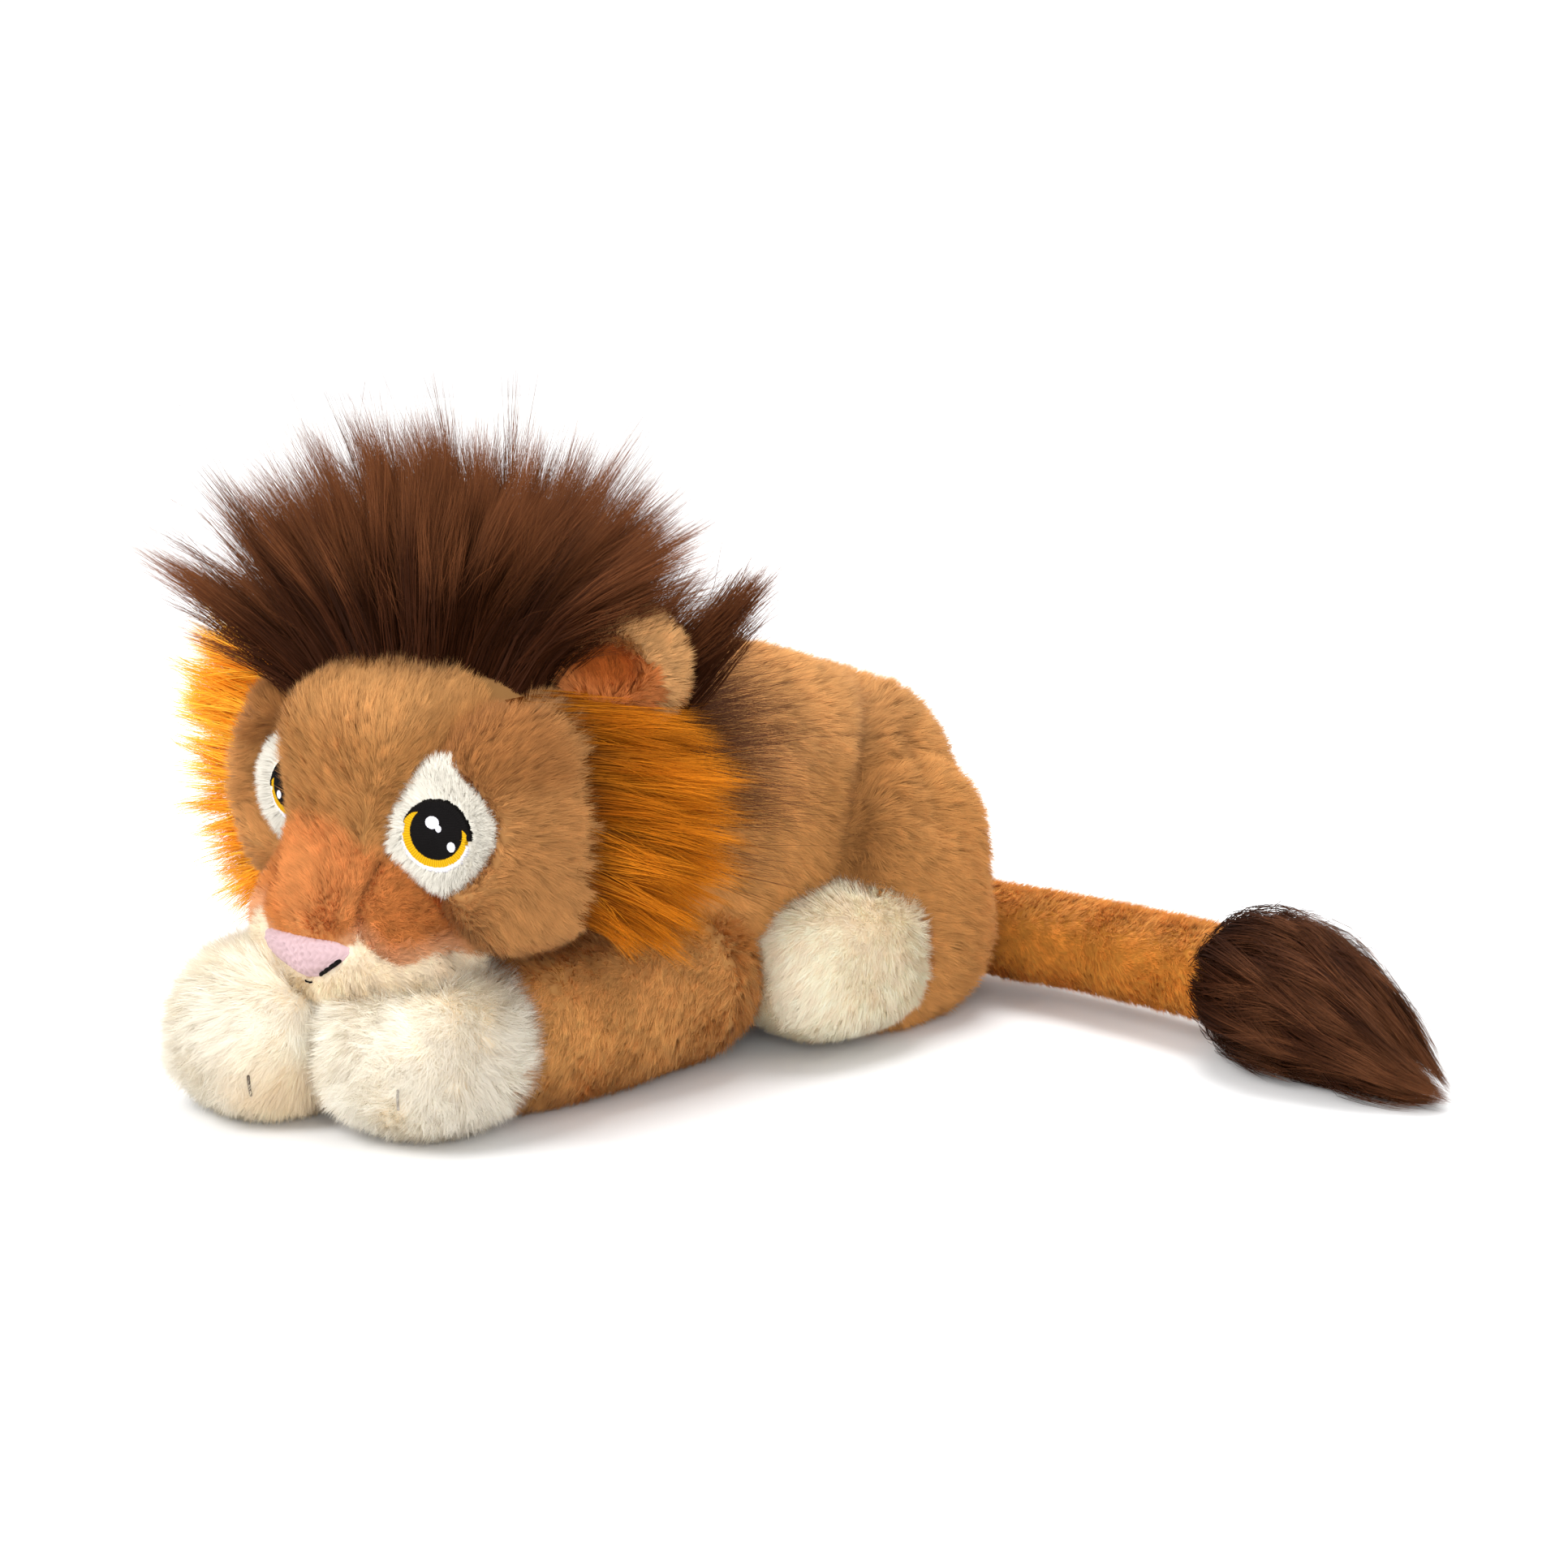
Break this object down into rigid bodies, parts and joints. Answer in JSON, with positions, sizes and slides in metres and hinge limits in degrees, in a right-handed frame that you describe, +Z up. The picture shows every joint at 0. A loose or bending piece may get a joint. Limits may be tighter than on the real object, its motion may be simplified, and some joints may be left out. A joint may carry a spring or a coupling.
{
  "type": "plush lion",
  "caption": "Soft toy lion lying on its belly with its chin on its forepaws, long-pile mane and side ruffs, embroidered eyes and a tufted tail.",
  "frame": {"origin": "centre of the base of the toy's bounding box, on the surface it lies on", "axes": "+Z up, the lion looks along -Y, +X is its left side"},
  "size_m": [0.337, 0.3264, 0.2222],
  "materials": {
    "tan_plush": "short dense pile, matte, combed",
    "cream_plush": "short dense pile, matte",
    "brown_long_pile": "long loose pile, paler at the tips",
    "orange_long_pile": "medium long pile with lighter streaks",
    "pink_velour": "clipped velour",
    "white_velour": "clipped velour",
    "eye_thread": "satin embroidery in black, gold and white thread",
    "ear_lining_plush": "short pile",
    "stuffing": "polyester fibre fill"
  },
  "bodies": {
    "torso": {"body_panel_left": "tan_plush", "body_panel_right": "tan_plush", "belly_panel": "tan_plush", "body_stuffing": "stuffing", "haunch_panel_left": "tan_plush", "haunch_stuffing_left": "stuffing", "haunch_panel_right": "tan_plush", "haunch_stuffing_right": "stuffing"},
    "neck": {"neck_stuffing": "tan_plush"},
    "head": {"chin_panel": "cream_plush", "forehead_gusset": "tan_plush", "cheek_panel_left": "tan_plush", "cheek_panel_right": "tan_plush", "head_stuffing": "stuffing", "nose": "pink_velour", "eye_patch_left": "white_velour", "eye_embroidery_left": "eye_thread", "eye_patch_right": "white_velour", "eye_embroidery_right": "eye_thread", "mane": "brown_long_pile", "nape_mane": "brown_long_pile", "ruff_left": "orange_long_pile", "ruff_right": "orange_long_pile"},
    "ear_l": {"ear_left": "tan_plush", "ear_lining_left": "ear_lining_plush"},
    "ear_r": {"ear_right": "tan_plush", "ear_lining_right": "ear_lining_plush"},
    "foreleg_l": {"foreleg_sleeve_left": "tan_plush", "paw_cap_left": "cream_plush", "foreleg_stuffing_left": "stuffing"},
    "foreleg_r": {"foreleg_sleeve_right": "tan_plush", "paw_cap_right": "cream_plush", "foreleg_stuffing_right": "stuffing"},
    "hindfoot_l": {"hind_sleeve_left": "tan_plush", "hind_foot_cap_left": "cream_plush", "hind_foot_stuffing_left": "stuffing"},
    "hindfoot_r": {"hind_sleeve_right": "tan_plush", "hind_foot_cap_right": "cream_plush", "hind_foot_stuffing_right": "stuffing"},
    "tail_base": {"tail_sleeve_base": "tan_plush", "tail_stuffing_base": "stuffing"},
    "tail_end": {"tail_sleeve_end": "tan_plush", "tail_stuffing_end": "stuffing"},
    "tail_tip": {"tail_tuft": "brown_long_pile"}
  },
  "joints": [
    {"name": "neck_yaw", "type": "hinge", "parent": "torso", "child": "neck", "pos_m": [-0.06524, -0.03101, 0.084], "axis": [0, 0, 1], "range_deg": [-12, 12], "stiffness_Nm_per_rad": 0.06},
    {"name": "head_nod", "type": "hinge", "parent": "neck", "child": "head", "pos_m": [-0.06524, -0.03101, 0.084], "axis": [-1, 0, 0], "range_deg": [0, 15], "stiffness_Nm_per_rad": 0.05},
    {"name": "ear_l_fold", "type": "hinge", "parent": "head", "child": "ear_l", "pos_m": [-0.01623, -0.04201, 0.134], "axis": [0.9135, 0.4067, 0], "range_deg": [-18, 18], "stiffness_Nm_per_rad": 0.004},
    {"name": "ear_r_fold", "type": "hinge", "parent": "head", "child": "ear_r", "pos_m": [-0.11424, -0.04201, 0.134], "axis": [0.9135, -0.4067, 0], "range_deg": [-18, 18], "stiffness_Nm_per_rad": 0.004},
    {"name": "foreleg_l_splay", "type": "hinge", "parent": "torso", "child": "foreleg_l", "pos_m": [-0.03524, -0.00201, 0.0246], "axis": [0, 0, 1], "range_deg": [0, 15], "stiffness_Nm_per_rad": 0.03},
    {"name": "foreleg_r_splay", "type": "hinge", "parent": "torso", "child": "foreleg_r", "pos_m": [-0.09524, -0.00201, 0.0246], "axis": [0, 0, -1], "range_deg": [0, 15], "stiffness_Nm_per_rad": 0.03},
    {"name": "hindfoot_l_splay", "type": "hinge", "parent": "torso", "child": "hindfoot_l", "pos_m": [-0.02924, 0.08899, 0.0225], "axis": [0, 0, 1], "range_deg": [0, 18], "stiffness_Nm_per_rad": 0.03},
    {"name": "hindfoot_r_splay", "type": "hinge", "parent": "torso", "child": "hindfoot_r", "pos_m": [-0.10124, 0.08899, 0.0225], "axis": [0, 0, -1], "range_deg": [0, 18], "stiffness_Nm_per_rad": 0.03},
    {"name": "tail_swing", "type": "hinge", "parent": "torso", "child": "tail_base", "pos_m": [-0.06524, 0.13499, 0.0205], "axis": [0, 0, 1], "range_deg": [0, 160], "stiffness_Nm_per_rad": 0.02},
    {"name": "tail_bend", "type": "hinge", "parent": "tail_base", "child": "tail_end", "pos_m": [0.01477, 0.14399, 0.0205], "axis": [0, 0, 1], "range_deg": [-25, 25], "stiffness_Nm_per_rad": 0.012},
    {"name": "tuft_bend", "type": "hinge", "parent": "tail_end", "child": "tail_tip", "pos_m": [0.07476, 0.14299, 0.0205], "axis": [0, 0, 1], "range_deg": [-25, 25], "stiffness_Nm_per_rad": 0.012}
  ]
}
